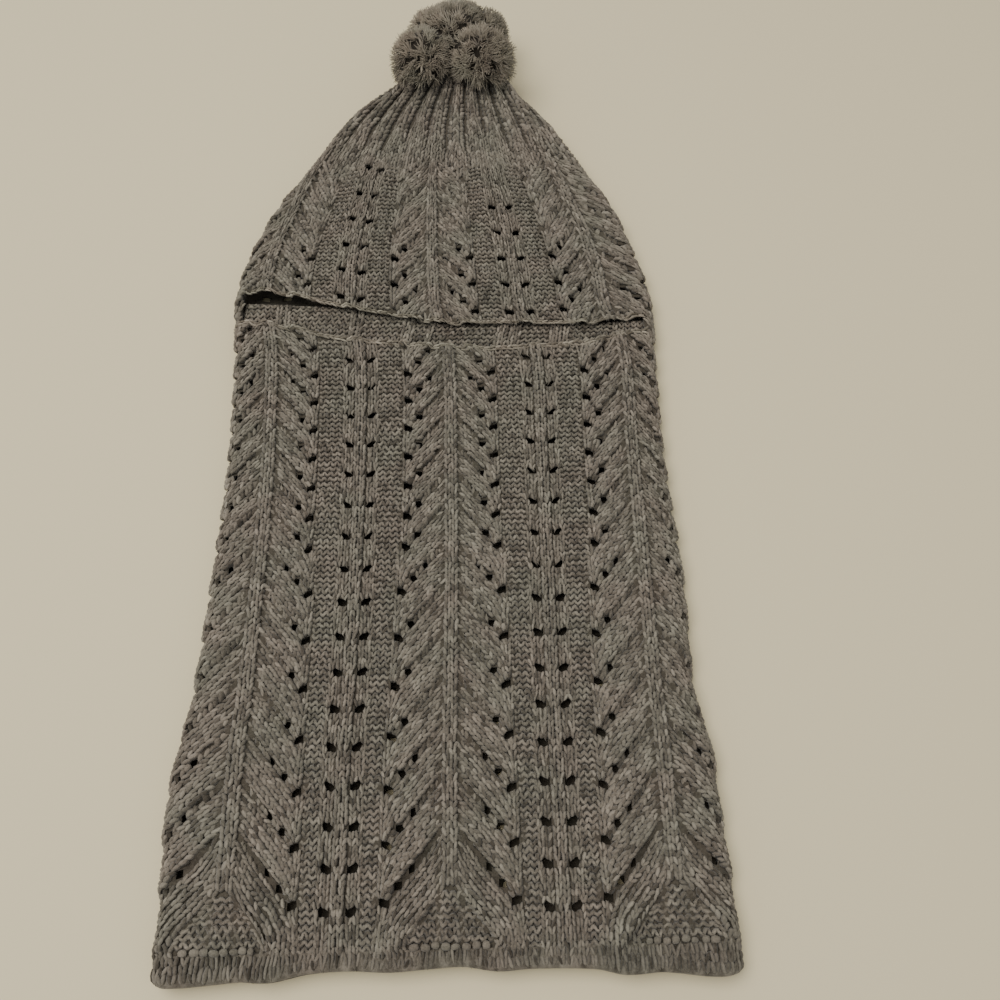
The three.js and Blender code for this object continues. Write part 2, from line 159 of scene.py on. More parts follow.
# Outline by height: share of the cowl's or hood's length, left fold, right fold and centre line as
# shares of the half width, underside and thickness as shares of the thickness, gauge, pleat depth.
COWL_OUTLINE = [
    (0.00, 1.085, 1.065, 0, 0, 1, 1, 0),
    (0.11, 1.090, 1.060, 0, 0, 1, 1, 0),
    (0.22, 1.105, 1.048, 0, 0, 1, 1, 0),
    (0.30, 1.087, 1.040, 0, 0, 1, 1, 0),
    (0.37, 1.053, 0.998, 0.003, 0, 1, 0.99, 0),
    (0.55, 1.023, 1.003, 0.009, 0, 1, 0.98, 0),
    (0.76, 1.004, 0.976, 0.009, 0, 1, 0.98, 0),
    (0.96, 1.022, 0.986, -0.004, 0, 1, 0.995, 0),
]
HOOD_OUTLINE = [
    (0.06, 1.040, 0.998, -0.060, 0, 1.06, 0.97, 0),
    (0.18, 1.030, 0.975, -0.075, 0, 1.10, 0.96, 0),
    (0.33, 0.969, 0.911, -0.082, 0, 1.12, 0.91, 0.1),
    (0.44, 0.903, 0.856, -0.082, 0, 1.14, 0.84, 0.2),
    (0.56, 0.798, 0.756, -0.080, 0, 1.18, 0.76, 0.4),
    (0.68, 0.680, 0.643, -0.065, 0.04, 1.26, 0.66, 0.6),
    (0.80, 0.531, 0.521, -0.040, 0.14, 1.40, 0.53, 0.8),
    (0.93, 0.268, 0.340, 0.010, 0.42, 1.46, 0.34, 1),
    (1.00, 0.130, 0.200, 0.035, 0.90, 0.98, 0.20, 1),
]
outline = np.array(
    [(share * COWL, *rest) for share, *rest in COWL_OUTLINE]
    + [(COWL + share * HOOD, *rest) for share, *rest in HOOD_OUTLINE]
)

# Edges of the face opening: place across as a share of the half width, neckline, brim and the
# back's fall short of the brim as shares of the gap, lift of the brim as a share of BRIM_LIFT
FACE_EDGES = np.array([
    (-1.10, 0.94, 0.85, 0.00, 1.00),
    (-0.92, 1.06, 1.08, 0.25, 1.00),
    (-0.75, 0.83, 0.93, 0.20, 0.90),
    (-0.50, 0.35, 0.49, -0.10, 0.60),
    (-0.22, 0.12, 0.06, -0.12, 0.40),
    (0.00, -0.09, -0.29, -0.12, 0.35),
    (0.30, -0.11, -0.29, -0.12, 0.35),
    (0.65, 0.06, -0.36, -0.12, 0.30),
    (0.90, 0.40, -0.20, 0.00, 0.20),
    (1.08, 0.55, -0.10, 0.05, 0.10),
])


def smooth_read(table, column, at):
    """A column of a table, read between its rows along a smooth curve."""
    keys, values = table[:, 0], table[:, column]
    at = np.clip(at, keys[0], keys[-1])
    i = np.clip(np.searchsorted(keys, at, side="right") - 1, 0, len(keys) - 2)
    before, after = np.maximum(i - 1, 0), np.minimum(i + 2, len(keys) - 1)
    span = keys[i + 1] - keys[i]
    t = (at - keys[i]) / span
    slope_from = (values[i + 1] - values[before]) / (keys[i + 1] - keys[before]) * span
    slope_to = (values[after] - values[i]) / (keys[after] - keys[i]) * span
    rise = values[i + 1] - values[i]
    bend = slope_from + slope_to - 2 * rise
    return values[i] + t * (slope_from + t * (rise - slope_from + (t - 1) * bend))


def neckline(x):
    return COWL + (smooth_read(FACE_EDGES, 1, x / HALF_WIDTH) - 0.5) * FACE_GAP


def brimline(x):
    return COWL + (smooth_read(FACE_EDGES, 2, x / HALF_WIDTH) + 0.5) * FACE_GAP


def brim_lift(x, y):
    above = (y - brimline(x)) / (0.3 * HOOD)
    held = np.where(above > 0, 1 - above * above * (3 - 2 * above), np.maximum(1 + 4 * above, 0))
    return np.where(above > 1, 0, smooth_read(FACE_EDGES, 4, x / HALF_WIDTH) * BRIM_LIFT * held)


def ease(low, high, value):
    t = np.clip((value - low) / (high - low), 0, 1)
    return t * t * (3 - 2 * t)


def back_swell(x, y):
    """The back layer rises into the face opening, and falls away just before the brim."""
    neck = neckline(x)
    fall = brimline(x) - smooth_read(FACE_EDGES, 3, x / HALF_WIDTH) * FACE_GAP
    rise = BACK_SWELL * ease(neck - 32, neck - 6, y) + STRIP_RISE * ease(neck - 1, neck + 4, y)
    return rise * (1 - ease(fall, fall + 6, y))


def gauge_at(y):
    return smooth_read(outline, 6, y) * GAUGE


def on_cloth(stitch, y, grow):
    """Points of the cloth in millimetres: column from the front line, height above the hem, rise."""
    left, right, spine = (smooth_read(outline, c, y) * HALF_WIDTH for c in (1, 2, 3))
    base, thick = (smooth_read(outline, c, y) * THICK for c in (4, 5))
    radius = thick / 2
    side = np.where(stitch < 0, -1.0, 1.0)
    front = np.where(side > 0, right - radius - spine, left - radius + spine)
    half_round = left + right - thick + np.pi * radius
    fold_end = front + np.pi * radius
    fold_start = REPEAT * gauge_at(y)
    count = np.abs(stitch)
    folding = fold_start + (count - REPEAT) / (FOLDED - REPEAT) * (fold_end - fold_start)
    behind = fold_end + (count - FOLDED) / (HALF_ROUND - FOLDED) * (half_round - fold_end)
    arc = np.where(count <= REPEAT, count * gauge_at(y), np.where(count <= FOLDED, folding, behind))
    angle = np.clip((arc - front) / radius, 0, np.pi)
    under = np.maximum(arc - fold_end, 0)
    reach = radius + grow
    x = spine + side * (np.minimum(arc, front) - under + reach * np.sin(angle))
    lift = np.maximum(np.cos(angle), 0) * brim_lift(x, y)
    lift += np.maximum(-np.cos(angle), 0) * back_swell(x, y)
    z = np.maximum(base + radius + reach * np.cos(angle) + lift, 0.05)
    return np.stack([x, np.broadcast_to(y, x.shape), z], axis=-1)


def from_spine(stitch):
    return np.abs((np.asarray(stitch) + 3.5 * REPEAT) % REPEAT - REPEAT / 2)


# Fern lace: creases run down from each spine to the tips of the leaves, where the eyelets are.
# Eight rows part them in the lower cowl, six above, and twin columns with eyelets stand between.
LEAF_TIP = 7.5
LEAF_DROP = 28.0
LEAF_RISE = 2.4
RIB_RISE = 1.6
PLEAT_RISE = 2.2
TIP_BELOW = 12
LEAF_START = HEM + 20
FOOT_DROP = 29.0
LEAF_STEP = LEAF_DROP / (LEAF_TIP - 1)
LEAF_PITCH_LOW = 25.0
LEAF_PITCH_HIGH = 18.0
LEAF_LOW_LENGTH = 200.0
HOOD_LEAF_START = 13.5
HOOD_PITCH = 20.0
CROWN_START = COWL + 0.62 * HOOD
EYELET_PITCH = 18.5
EYELET_START = 30.8
TWIN_EYELET = 12.3
TWIN_LONG = 2.9
TWIN_SHORT = 1.6
TWIN_SHORT_HIGH = 1.2
RIGHT_FALL_SHORT = 34
SLANT = 0.5
EYELET_STEP = 1.7
EYELET_CLEAR = 4.5
PLEAT = REPEAT / 5
HEM_GROOVE = 1.7
# Eyelets up a crease from its tip: half length and half width, slant as a share of SLANT
LEAF_EYELETS = [
    (2.4, 1.6, 0.6),
    (1.8, 1.45, -0.6),
    (1.7, 1.0, -1.9),
]
# Reach of the leaves from the spine: share of the cowl's length, share of the usual reach
LEAF_REACH = np.array([
    (0.04, 1.13),
    (0.23, 1.09),
    (0.42, 1.02),
    (0.53, 0.98),
    (0.62, 0.90),
    (1.00, 0.89),
    (1.10, 0.90),
    (1.40, 0.90),
])


def leaf_tips():
    tips = [LEAF_START - FOOT_DROP, LEAF_START]
    while tips[-1] < COWL:
        tips.append(tips[-1] + (LEAF_PITCH_LOW if tips[-1] < LEAF_LOW_LENGTH else LEAF_PITCH_HIGH))
    cowl_tips = np.array(tips[:-1])
    hood_tips = np.arange(COWL + HOOD_LEAF_START, CROWN_START, HOOD_PITCH)
    return np.append(cowl_tips[cowl_tips < COWL - 4], hood_tips)


tips = leaf_tips()


def narrowing(y):
    return gauge_at(y) / GAUGE


def leaf_reach(y):
    return np.interp(y / COWL, LEAF_REACH[:, 0], LEAF_REACH[:, 1]) * LEAF_TIP


def leaf_line(stitch, tip):
    reach = leaf_reach(tip)
    return tip + LEAF_STEP * narrowing(tip) * (reach - np.clip(from_spine(stitch), 1, reach))


def relief(stitch, y):
    """Rise of the knitting off the plain tube: leaves like shingles, ribs, and pleats at the crown."""
    d = from_spine(stitch)
    tip_level = y - TIP_BELOW
    reach = leaf_reach(tip_level)
    level = y - LEAF_STEP * narrowing(tip_level) * (reach - np.clip(d, 1, reach))
    k = np.clip(np.searchsorted(tips, level, side="right") - 1, 0, len(tips) - 2)
    t = np.clip((level - tips[k]) / (tips[k + 1] - tips[k]), 0, 1)
    # a leaf steps up behind its crease and slopes down to the next one, most in the lower cowl
    edge = -0.5 + 1.5 * ease(0, 0.09, t) - 1.5 * ease(0.12, 1, t) ** 0.9
    leaf = edge * ease(0.9, 2.4, d) * (1 - ease(reach, reach + 1.2, d)) * np.where(level < tips[0], 0.3, 1)
    leaf *= 1 + 0.5 * (1 - ease(40, 230, y))
    # the spine's two columns and the twin columns stand up as ribs
    rib = -0.4 + 1.4 * (1 - ease(0.9, 1.5, d)) + 1.4 * ease(12.8, 13.2, d) * (1 - 0.4 * ease(13.7, 14, d))
    crown = ease(CROWN_START - 25, CROWN_START + 10, y)
    pleat = smooth_read(outline, 7, y) * PLEAT_RISE * np.cos(2 * np.pi * d / PLEAT)
    # the relief fades round the side folds, and a groove parts the hem from the cloth above it
    flat = (1 - ease(30, 36, np.abs(stitch)) * 0.8) * ease(HEM - 3, HEM + 2, y)
    groove = HEM_GROOVE * ease(HEM - 6.5, HEM - 2.5, y) * (1 - ease(HEM - 1, HEM + 1.5, y))
    groove *= 1 - ease(29, 33, np.abs(stitch))
    return ((1 - crown) * (leaf * LEAF_RISE * narrowing(y) + rib * RIB_RISE) + pleat) * flat - groove


def twin_eyelets():
    spots = []
    for twin in range(-5, 6, 2):
        for side in (-1, 1):
            column = twin * REPEAT / 2 + side * (REPEAT / 2 - TWIN_EYELET)
            if abs(column) > HALF_ROUND:
                column -= math.copysign(2 * HALF_ROUND, column)
            x = on_cloth(np.array([column]), np.array([COWL]), 0)[0, 0]
            front = abs(column) < FOLDED
            end = float(neckline(x)) - 5 if front else COWL + 4
            start = float(brimline(x)) + 8.5 if front else COWL + 14
            low = np.arange(EYELET_START, end, EYELET_PITCH)
            high = np.arange(start, CROWN_START + 12 - RIGHT_FALL_SHORT * (column > 0), HOOD_PITCH)
            for y in np.append(low, high):
                long_half = TWIN_LONG * float(narrowing(y))
                short_half = TWIN_SHORT_HIGH if 190 < y < COWL else TWIN_SHORT
                spots.append((column, y, side * SLANT, long_half, short_half))
    return spots


def leaf_eyelets():
    """Eyelets up each crease: three where the leaves are long or the cowl ends, otherwise two."""
    spots = []
    for spine in range(-56, 57, REPEAT):
        for side in (-1, 1):
            for tip in tips[1:]:
                full = tip < 100 or 175 < tip < 190 or COWL - 60 < tip < COWL + 30
                for step in range(3 if full else 2):
                    long_half, short_half, slant = LEAF_EYELETS[step]
                    column = spine + side * (float(leaf_reach(tip)) - 0.1 - EYELET_STEP * step)
                    y = float(leaf_line(column, tip)) - 0.4
                    if y < COWL + 70:
                        spots.append((column, y, side * SLANT * slant, long_half, short_half))
    return spots


eyelets = np.array(twin_eyelets() + leaf_eyelets())
eyelet_x = on_cloth(eyelets[:, 0], eyelets[:, 1], np.zeros(len(eyelets)))[:, 0]
in_slit = (
    (np.abs(eyelets[:, 0]) < FOLDED)
    & (eyelets[:, 1] > neckline(eyelet_x) - EYELET_CLEAR)
    & (eyelets[:, 1] < brimline(eyelet_x) + EYELET_CLEAR)
)
eyelets = eyelets[~in_slit]


def joined_mesh(name, points, quads, triangles=None, flecks=None):
    """One mesh object from arrays of points in millimetres and of faces."""
    triangles = np.zeros((0, 3), int) if triangles is None else triangles
    loops = np.concatenate([quads.ravel(), triangles.ravel()]).astype(np.int32)
    starts = np.concatenate([
        np.arange(len(quads)) * 4, 4 * len(quads) + np.arange(len(triangles)) * 3,
    ]).astype(np.int32)
    mesh = bpy.data.meshes.new(name)
    mesh.vertices.add(len(points))
    placed = (points + np.array([FRONT_LINE, HEM_LINE, 0])) * 0.001
    mesh.vertices.foreach_set("co", placed.astype(np.float32).ravel())
    mesh.loops.add(len(loops))
    mesh.loops.foreach_set("vertex_index", loops)
    mesh.polygons.add(len(starts))
    mesh.polygons.foreach_set("loop_start", starts)
    mesh.polygons.foreach_set("use_smooth", np.ones(len(starts), bool))
    mesh.update(calc_edges=True)
    if flecks is not None:
        attribute = mesh.attributes.new("fleck", "FLOAT", "POINT")
        attribute.data.foreach_set("value", flecks.astype(np.float32))
    piece = bpy.data.objects.new(name, mesh)
    bpy.context.scene.collection.objects.link(piece)
    return piece


WARM_TINT = (1.03, 0.985, 0.97, 1)
COOL_TINT = (0.965, 1.005, 0.97, 1)


def wool(name, light, dark, depth=1.0):
    """Heather wool yarn: fibres dyed light and dark grey and spun together, so each strand is
    flecked; the yarn is matt and hairy, which the sheen and the fine bump give."""
    material = new_material(name)
    place = add_node(material, "ShaderNodeTexCoord")
    fleck = add_node(material, "ShaderNodeAttribute", {"attribute_name": "fleck"})
    fibres = add_node(material, "ShaderNodeTexNoise", {"Scale": 900.0, "Detail": 3.0, "Roughness": 0.7},
                      {"Vector": place.outputs["Object"]})
    clouds = add_node(material, "ShaderNodeTexNoise", {"Scale": 45.0, "Detail": 2.0},
                      {"Vector": place.outputs["Object"]})
    mixed = add_node(material, "ShaderNodeMath", {"operation": "ADD"},
                     {0: fleck.outputs["Fac"], 1: fibres.outputs["Fac"]})
    shade = add_node(material, "ShaderNodeMapRange", {"From Min": 0.55, "From Max": 1.55},
                     {"Value": mixed.outputs[0]})
    tone = add_node(material, "ShaderNodeMix", {"data_type": "RGBA"}, {"Factor": shade.outputs["Result"]})
    tone.inputs[6].default_value = linear(dark)
    tone.inputs[7].default_value = linear(light)
    hue = add_node(material, "ShaderNodeMapRange", {"From Min": 0.35, "From Max": 0.65},
                   {"Value": clouds.outputs["Fac"]})
    tint = add_node(material, "ShaderNodeMix", {"data_type": "RGBA"}, {"Factor": hue.outputs["Result"]})
    tint.inputs[6].default_value = WARM_TINT
    tint.inputs[7].default_value = COOL_TINT
    dyed = add_node(material, "ShaderNodeMix", {"data_type": "RGBA", "blend_type": "MULTIPLY"},
                    {6: tone.outputs[2], 7: tint.outputs[2]})
    dyed.inputs[0].default_value = 1.0
    bump = add_node(material, "ShaderNodeBump", {"Strength": 0.6 * depth, "Distance": 0.0006},
                    {"Height": fibres.outputs["Fac"]})
    yarn = add_node(material, "ShaderNodeBsdfPrincipled",
                    {"Roughness": 0.9, "IOR": 1.5, "Sheen Weight": 0.25, "Sheen Roughness": 0.5,
                     "Specular IOR Level": 0.2},
                    {"Base Color": dyed.outputs[2], "Normal": bump.outputs["Normal"]})
    add_node(material, "ShaderNodeOutputMaterial", {}, {"Surface": yarn.outputs["BSDF"]})
    return material


knit_wool = wool("heather wool, knitted", "#A29D94", "#514D47")
# The wall's wool is a darker copy of the stitches' wool: painted shade for the gaps between stitches and
# inside the eyelets.
wall_wool_painted_shade = wool("heather wool, wall, painted shade", "#7B766D", "#3A3732", 1.2)

# The knitted wall: the body of the fabric under the raised stitches, with every eyelet open through
# it, the face slit across the front, and the mouth open at the hem.
WALL_OUTSIDE = -1.5
WALL_INSIDE = -3.9
NECK_ROWS = 106
GAP_ROWS = 6
HOOD_ROWS = 62
EYELET_ROOM = 1.15
BRIM_ROLL = 2.5
SLIT_END = 3.0
EDGE_LIP = 1.2
TIP_WALL = 4
# The wall's fleck value is set low, which paints the wall darker still, as shade.
WALL_SHADE_TONE = 0.35

columns = np.arange(-HALF_ROUND, HALF_ROUND).astype(float)
column_x = on_cloth(columns, np.full(len(columns), COWL), 0)[:, 0]
neck_cut = neckline(column_x) - EDGE_LIP
brim_cut = brimline(column_x) + EDGE_LIP
TOP = COWL + HOOD
rows_up = np.concatenate([
    HEM + (neck_cut - HEM) * np.arange(NECK_ROWS)[:, None] / NECK_ROWS,
    neck_cut + (brim_cut - neck_cut) * np.arange(GAP_ROWS)[:, None] / GAP_ROWS,
    brim_cut + (TOP - brim_cut) * np.arange(HOOD_ROWS + 1)[:, None] / HOOD_ROWS,
])
grid_s = np.broadcast_to(columns, rows_up.shape).copy()
grid_y = rows_up.copy()
kept = np.ones((len(rows_up) - 1, len(columns)), bool)
fold_left, fold_right = (float(smooth_read(outline, c, COWL)) * HALF_WIDTH for c in (1, 2))
slit_columns = (
    (np.abs(columns) < FOLDED)
    & (column_x > -fold_left + SLIT_END) & (np.roll(column_x, -1) < fold_right - SLIT_END)
)
kept[NECK_ROWS:NECK_ROWS + GAP_ROWS, slit_columns] = False
slit_from = column_x[slit_columns].min()
slit_to = np.roll(column_x, -1)[slit_columns].max()
moved = np.zeros(rows_up.shape, bool)
for stitch, y, slant, long_half, short_half in eyelets:
    j = int(math.floor(stitch)) + HALF_ROUND
    j2 = (j + 1) % len(columns)
    i = int(np.searchsorted(rows_up[:, j], y, side="right")) - 1
    if not (0 < i < len(kept) - 1) or not kept[i - 1:i + 2, j].all() or not kept[i, j2]:
        continue
    kept[i, j] = False
    half_across = math.hypot(long_half * math.cos(slant), short_half * math.sin(slant))
    half_up = EYELET_ROOM * math.hypot(long_half * math.sin(slant), short_half * math.cos(slant))
    skew = 0.5 * half_across * math.sin(slant) if abs(slant) < 1 else 0
    for row, column, ds, dy in ((i, j, -1, -1), (i, j2, 1, -1), (i + 1, j2, 1, 1), (i + 1, j, -1, 1)):
        if not moved[row, column]:
            grid_s[row, column] = stitch + ds * half_across / float(gauge_at(y))
            grid_y[row, column] = y + dy * half_up + ds * skew
            moved[row, column] = True

height, around = rows_up.shape
outside = on_cloth(grid_s, grid_y, WALL_OUTSIDE + relief(grid_s, grid_y)).reshape(-1, 3)
inner_y = np.minimum(grid_y, TOP - TIP_WALL)
inner_y[NECK_ROWS + GAP_ROWS] += BRIM_ROLL
inside = on_cloth(grid_s, inner_y, np.full(grid_s.shape, WALL_INSIDE)).reshape(-1, 3)
number = np.arange(height * around).reshape(height, around)
a, c = number[:-1], number[1:]
b, d = np.roll(a, -1, axis=1), np.roll(c, -1, axis=1)
lower = np.vstack([np.zeros((1, around), bool), kept[:-1]])
upper = np.vstack([kept[1:], np.ones((1, around), bool)])
east, west = np.roll(kept, -1, axis=1), np.roll(kept, 1, axis=1)
shift = height * around


def cell_faces(mask, *corners):
    return np.stack([corner[mask] for corner in corners], axis=-1)


wall_quads = np.concatenate([
    cell_faces(kept, a, b, d, c),
    cell_faces(kept, a + shift, c + shift, d + shift, b + shift),
    cell_faces(kept & ~lower, a, a + shift, b + shift, b),
    cell_faces(kept & ~upper, d, d + shift, c + shift, c),
    cell_faces(kept & ~west, c, c + shift, a + shift, a),
    cell_faces(kept & ~east, b, b + shift, d + shift, d),
])
outer_tip = outside[number[-1]].mean(0)
inner_tip = inside[number[-1]].mean(0)
tip_numbers = 2 * shift, 2 * shift + 1
last, after_last = number[-1], np.roll(number[-1], -1)
wall_triangles = np.concatenate([
    np.stack([np.full(around, tip_numbers[0]), last, after_last], -1),
    np.stack([np.full(around, tip_numbers[1]), after_last + shift, last + shift], -1),
])
wall_points = np.vstack([outside, inside, outer_tip, inner_tip])
# Painted shade: every point of the wall gets the same low fleck value.
wall_shade_tone = np.full(len(wall_points), WALL_SHADE_TONE)
wall = joined_mesh("knit_wall", wall_points, wall_quads, wall_triangles, wall_shade_tone)
wall.data.materials.append(wall_wool_painted_shade)
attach(wall, "root")
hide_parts("knit_tube", "crown")

# Knit stitches: each is a loop of yarn whose two legs show as a V. The columns run straight up the
# spines and twin columns, slant up towards the spines in the leaves, and draw together at the crown.
ROW = 3.09
BODY_RISE = 0.35
# across and half width in stitches, along in rows, rise and half height in millimetres
LEG = [
    (0.10, 0.05, -0.80, -0.6, 0.15),
    (0.17, 0.22, -0.45, 0.35, 0.7),
    (0.27, 0.28, 0.05, 0.62, 0.9),
    (0.35, 0.22, 0.55, 0.38, 0.7),
    (0.40, 0.05, 0.88, -0.6, 0.15),
]
# middle of a leg from the middle of its stitch, in stitches
LEG_ASIDE = 0.27
# spread from stitch to stitch: size as a share, lean in radians, place in millimetres
LOOSE_SIZE = 0.09
LOOSE_LEAN = 0.13
LOOSE_PLACE = 0.18
# as shares of an eyelet's size: legs nearer than the first are left out, and those within the
# second are pulled out towards it by the share that follows
EYELET_BARE = 0.95
EYELET_REACH = 2.2
EYELET_PULL = 0.45


def leg_template(sides, stations):
    """Leg of a stitch: three rings of yarn and its two ends."""
    turn = np.arange(sides) * 2 * np.pi / sides + np.pi / 2
    points = [(stations[0][0], stations[0][2], stations[0][3])]
    for across, half_width, along, up, half_height in stations[1:4]:
        points += [(
            across + half_width * math.cos(angle), along, up + half_height * math.sin(angle),
        ) for angle in turn]
    points.append((stations[4][0], stations[4][2], stations[4][3]))
    k = np.arange(sides)
    k2 = (k + 1) % sides
    end = 1 + 3 * sides
    quads = np.concatenate([
        np.stack([1 + k, 1 + k2, 1 + sides + k2, 1 + sides + k], -1),
        np.stack([1 + sides + k, 1 + sides + k2, 1 + 2 * sides + k2, 1 + 2 * sides + k], -1),
    ])
    triangles = np.concatenate([
        np.stack([np.zeros(sides, int), 1 + k2, 1 + k], -1),
        np.stack([np.full(sides, end), 1 + 2 * sides + k, 1 + 2 * sides + k2], -1),
    ])
    return np.array(points), quads, triangles


def flat_leg_template():
    """A leg for the side that lies on the floor: one ring of yarn and its two ends."""
    points = [
        (0.10, -0.75, -0.4), (0.51, 0.05, 0.0), (0.27, 0.05, 1.2), (0.01, 0.05, 0.0), (0.40, 0.85, -0.4),
    ]
    k = np.arange(3)
    k2 = (k + 1) % 3
    triangles = np.concatenate([
        np.stack([np.zeros(3, int), 1 + k2, 1 + k], -1), np.stack([np.full(3, 4), 1 + k, 1 + k2], -1),
    ])
    return np.array(points), np.zeros((0, 4), int), triangles


def knit_column(stitches, heights, width, row=ROW):
    """Stitches along one column's path. Each has its place, lean, width and height."""
    stitches, heights = np.asarray(stitches, float), np.asarray(heights, float)
    across = np.append(0, np.cumsum(np.diff(stitches) * gauge_at(heights)[1:]))
    run = np.append(0, np.cumsum(np.hypot(np.diff(across), np.diff(heights))))
    count = max(int(round(run[-1] / row)), 1)
    at = (np.arange(count) + 0.5) / count * run[-1]
    ahead, back = np.minimum(at + 0.5, run[-1]), np.maximum(at - 0.5, 0)
    y = np.interp(at, run, heights)
    lean = np.arctan2(
        np.interp(back, run, across) - np.interp(ahead, run, across),
        np.interp(ahead, run, heights) - np.interp(back, run, heights),
    )
    wide = width(y) if callable(width) else np.full(count, float(width))
    return np.stack([np.interp(at, run, stitches), y, lean, wide, np.full(count, run[-1] / count)], -1)


def eyelet_frame(s, y, eyelet):
    """Offsets from an eyelet's centre along and across its slanting oval, as shares of its size."""
    stitch, height, slant, long_half, short_half = eyelet
    dx, dy = (s - stitch) * float(gauge_at(height)), y - height
    along = dx * math.cos(slant) + dy * math.sin(slant)
    aside = dy * math.cos(slant) - dx * math.sin(slant)
    return along / long_half, aside / short_half


def draw_aside(s, y, reach, share):
    """Yarn within reach of an eyelet is drawn aside from it."""
    order = np.argsort(y)
    s, y = s[order].copy(), y[order].copy()
    for eyelet in eyelets:
        stitch, height, slant, long_half, short_half = eyelet
        low, high = np.searchsorted(y, (height - 6, height + 6))
        along, aside = eyelet_frame(s[low:high], y[low:high], eyelet)
        far = np.hypot(along, aside) + 1e-6
        out = np.where(far < reach, 1 + share * (reach / far - 1), 1)
        along, aside = along * (out - 1) * long_half, aside * (out - 1) * short_half
        s[low:high] += (along * math.cos(slant) - aside * math.sin(slant)) / float(gauge_at(height))
        y[low:high] += along * math.sin(slant) + aside * math.cos(slant)
    back = np.empty_like(order)
    back[order] = np.arange(len(order))
    return s[back], y[back]


def stitched(name, stitches, template, inward=False, rise=0.0, seed=1, mottle=0.22):
    """Both legs of every stitch as one mesh on the cloth, or on the inner face of its back layer."""
    chance = np.random.default_rng(seed)
    shape, quads, triangles = template
    columns_of = np.asarray(stitches)
    pieces = []
    total = 0
    for side in (-1, 1):
        s0, y0, lean, wide, tall = columns_of.T
        middle = side * LEG_ASIDE * wide
        s_leg, y_leg = s0 + middle * np.cos(lean) / gauge_at(y0), y0 + middle * np.sin(lean)
        clear = np.ones(len(s0), bool)
        if not inward:
            for eyelet in eyelets:
                clear &= np.hypot(*eyelet_frame(s_leg, y_leg, eyelet)) > EYELET_BARE
        legs = s0, y0, lean, wide, tall, s_leg, y_leg
        s0, y0, lean, wide, tall, s_leg, y_leg = (values[clear] for values in legs)
        if not inward:
            s_new, y_new = draw_aside(s_leg, y_leg, EYELET_REACH, EYELET_PULL)
            s0, y0 = s0 + s_new - s_leg, y0 + y_new - y_leg
        n, m = len(s0), len(shape)
        jitter = chance.normal(0, 1, (5, n, 1)).clip(-2, 2)
        across = side * shape[:, 0] * wide[:, None] * (1 + LOOSE_SIZE * jitter[0])
        along = shape[:, 1] * tall[:, None] * (1 + LOOSE_SIZE * jitter[1])
        angle = lean[:, None] + LOOSE_LEAN * jitter[2]
        aside = across * np.cos(angle) - along * np.sin(angle) + LOOSE_PLACE * jitter[3]
        s = s0[:, None] + aside / gauge_at(y0)[:, None]
        y = y0[:, None] + across * np.sin(angle) + along * np.cos(angle)
        s, y = s.ravel(), y.ravel()
        if not inward:
            s, y = draw_aside(s, y, 1.0, 1.0)
        up = (rise + BODY_RISE + shape[:, 2] + LOOSE_PLACE * jitter[4]).ravel()
        grow = WALL_INSIDE - up if inward else WALL_OUTSIDE + relief(s, y) + up
        offsets = (total + np.arange(n) * m)[:, None, None]
        turned = slice(None, None, -1) if (side < 0) != inward else slice(None)
        pieces.append((
            on_cloth(s, y, grow), (quads[:, turned] + offsets).reshape(-1, 4),
            (triangles[:, turned] + offsets).reshape(-1, 3),
            np.repeat(np.clip(0.5 + mottle * chance.normal(0, 1, n), 0, 1), m),
        ))
        total += n * m
    points, quads, triangles, flecks = (np.concatenate(part) for part in zip(*pieces))
    return joined_mesh(name, points, quads, triangles, flecks)


def dressed(piece, material, slot, *nodes):
    piece.data.materials.append(material)
    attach(piece, "root")
    if nodes:
        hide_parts(*nodes)


def off_the_slit(stitches):
    """Leaves out the stitches that would lie in the face opening, in the hem or past the crown's tip."""
    s, y = stitches[:, 0], stitches[:, 1]
    x = on_cloth(s, y, 0)[:, 0]
    slit = (np.abs(s) < FOLDED) & (y > neckline(x) - 2.2) & (y < brimline(x) + 1.6)
    slit &= (x > slit_from) & (x < slit_to)
    return stitches[~slit & (y > HEM) & (y < TOP - 1)]


# Paths of the lowest leaf's inner and outer columns down to the hem: distance from the spine as a
# share of the leaf's reach and height above the hem as a share of its drop, for each
LEAF_FOOT = np.array([
    (0.680, -0.04, 1.213, -0.04),
    (0.667, 0.20, 1.080, 0.64),
    (0.347, 0.57, 0.653, 1.14),
    (0.107, 0.96, 0.160, 1.86),
])
SIDE_FOOT = 0.86
CREASE = 0.6
COLUMN = 3.6


def leaf_paths(foot_share):
    """Paths of the slanting columns of every leaf: distance from the spine, height and width."""
    slope = math.atan2(LEAF_DROP, (LEAF_TIP - 1) * GAUGE)
    along = np.linspace(0, 3, 14)
    foot = [np.polyval(np.polyfit(range(4), column, 3), along) for column in LEAF_FOOT.T]
    for share in (0.125, 0.375, 0.625, 0.875):
        d = foot[0] * foot_share + (foot[2] - foot[0] * foot_share) * share
        rise = foot[1] + (foot[3] - foot[1]) * share
        yield d * LEAF_TIP, HEM + rise * LEAF_DROP, COLUMN
    beside = float(leaf_reach(HEM)) + np.linspace(0.75, 0.15, 4)
    yield beside, np.linspace(HEM, LEAF_START - 1.5, 4), COLUMN * 0.8
    for low, high in zip(tips[1:-1], tips[2:]):
        across = (high - low) * math.cos(slope)
        count = max(int(round((across - CREASE) / COLUMN)), 2)
        width = (across - CREASE) / count
        reach = float(leaf_reach(low))
        d = np.linspace(reach - 0.2, 1.2, 9)
        for j in range(count):
            y = leaf_line(d, low) + (CREASE + (j + 0.5) * width) / across * (high - low)
            yield d, y - 2.5 * np.maximum(d - reach + 1.4, 0) ** 1.5, width * 1.03
        yield np.full(4, reach + 0.25), np.linspace(low + 2.2, high - 1.2, 4), COLUMN * 0.9


